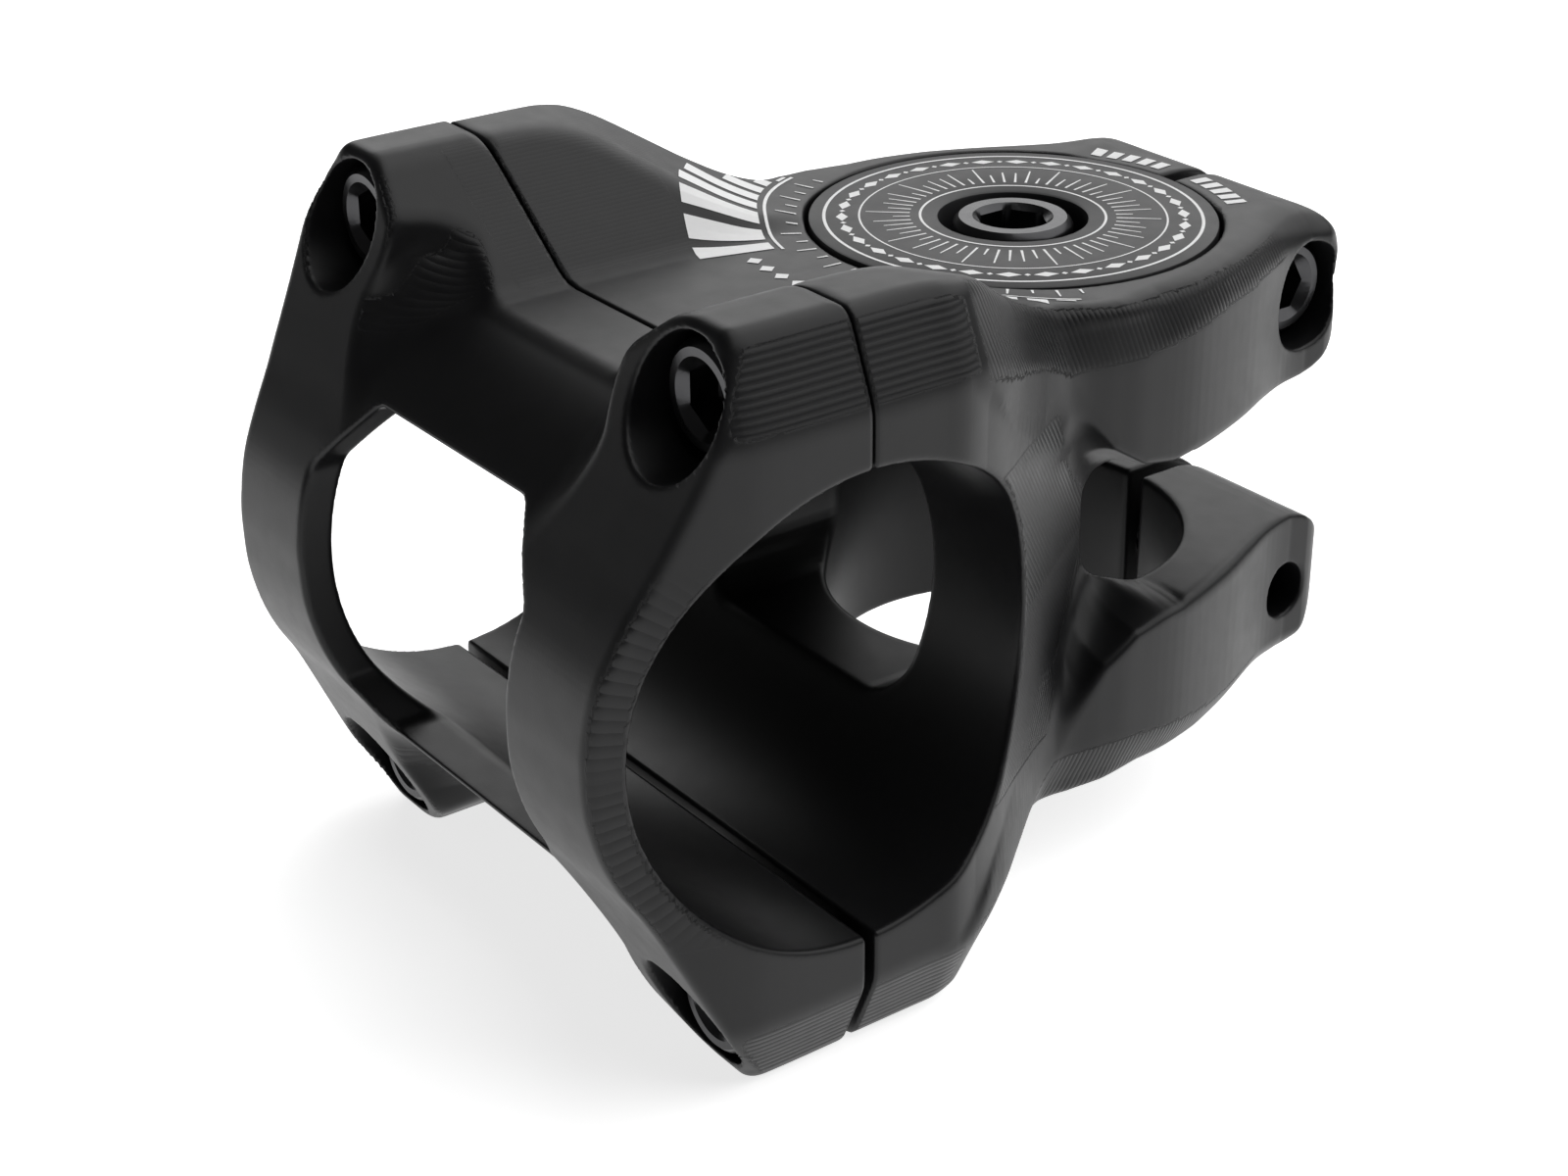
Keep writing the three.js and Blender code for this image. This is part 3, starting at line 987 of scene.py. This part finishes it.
def ink_material():
    """White ink, slightly uneven."""
    n = Nodes("white_ink")
    n.set("Base Color", n.colour_between(n.noise(900, 3.0), (0.9, 0.9, 0.9), (0.97, 0.97, 0.97)))
    n.set("Roughness", n.spread(n.noise(1500, 2.0), 0.45, 0.6))
    n.bump(n.noise(5000, 2.0), 0.006 * MM)
    return n.material


def floor_material():
    n = Nodes("studio_floor")
    n.set("Base Color", n.colour_between(n.noise(3, 1.0), (0.93, 0.93, 0.93), (0.95, 0.95, 0.95)))
    n.set("Roughness", 0.9)
    n.set("Specular IOR Level", 0.0)
    n.set("Emission Color", (1, 1, 1, 1))
    n.set("Emission Strength", 0.75)
    return n.material


# ---------------------------------------------------------------- studio

CAMERA_PLACE = (154.29, -135.44, 109.99)
CAMERA_LENS = 64.34
CAMERA_AZIMUTH = 53.68
CAMERA_ELEVATION = 26.63
CAMERA_ROLL = -0.44


def studio_camera():
    camera = bpy.data.cameras.new("camera")
    camera.lens = CAMERA_LENS
    camera.sensor_width = 36
    camera.clip_start = 0.01
    holder = bpy.data.objects.new("camera", camera)
    bpy.context.scene.collection.objects.link(holder)
    swing = Matrix.Rotation(math.radians(CAMERA_AZIMUTH), 4, "Z")
    tilt = Matrix.Rotation(math.radians(90 - CAMERA_ELEVATION), 4, "X")
    roll = Matrix.Rotation(math.radians(CAMERA_ROLL), 4, "Z")
    holder.matrix_world = Matrix.Translation(Vector(CAMERA_PLACE) * MM) @ swing @ tilt @ roll
    bpy.context.scene.camera = holder


def studio_floor():
    """A plain floor, a hair under the lowest bosses so that their undersides don't share its plane."""
    half = 3.0
    height = CAD_BOX[0][2] - 0.05 * MM
    corners = [(-half, -half, height), (half, -half, height), (half, half, height), (-half, half, height)]
    mesh = bpy.data.meshes.new("studio_floor")
    mesh.from_pydata(corners, [], [(0, 1, 2, 3)])
    mesh.materials.append(floor_material())
    floor = bpy.data.objects.new("studio_floor", mesh)
    bpy.context.scene.collection.objects.link(floor)


def softbox(name, place, size, power, target=(0, -0.01, 0.015)):
    """A rectangular light at a place in metres, turned towards the stem."""
    light = bpy.data.lights.new(name, "AREA")
    light.shape = "RECTANGLE"
    light.size, light.size_y = size
    light.energy = power
    holder = bpy.data.objects.new(name, light)
    bpy.context.scene.collection.objects.link(holder)
    away = Vector(place) - Vector(target)
    holder.matrix_world = Matrix.Translation(place) @ away.to_track_quat("Z", "Y").to_matrix().to_4x4()


def studio_lights():
    world = bpy.data.worlds.new("studio")
    bpy.context.scene.world = world
    world.use_nodes = True
    background = world.node_tree.nodes["Background"]
    background.inputs["Color"].default_value = (1, 1, 1, 1)
    background.inputs["Strength"].default_value = 0.06
    softbox("overhead", (0.25, 0.6, 1.05), (1.9, 1.9), 18)
    softbox("back_left", (-0.8, 0.7, 0.55), (1.2, 0.7), 4.5)
    bpy.context.scene.view_settings.view_transform = "Standard"


# ---------------------------------------------------------------- the part

def grid_between(front, back):
    """A grid over the whole width and height, from a front to a back, with a margin all round."""
    margin = 3 * STEP
    low = (-HALF_WIDTH - margin, front - margin, -BOSS_HEIGHT - margin)
    high = (HALF_WIDTH + margin, back + margin, BOSS_HEIGHT + margin)
    return Grid(low, high)


def build_part():
    anodised = anodised_material()
    steel = black_steel_material()
    washer_steel = washer_material()
    ink = ink_material()
    grid = grid_between(0, EAR_BACK)
    body = stem_body_field(grid)
    from_field("stem_body", body, grid, cutter_lines, anodised)
    body_print(ink, body, grid)
    grid = grid_between(-FACEPLATE_DEPTH, 0)
    from_field("faceplate", faceplate_field(grid), grid, cutter_lines, anodised)
    points, faces = cap_mesh()
    new_piece("top_cap_disc", points, faces, "top_cap", "top_cap", cap_material(), 30)
    all_screws(steel, washer_steel)
    cap_print(ink)


studio_camera()
studio_floor()
studio_lights()
build_part()
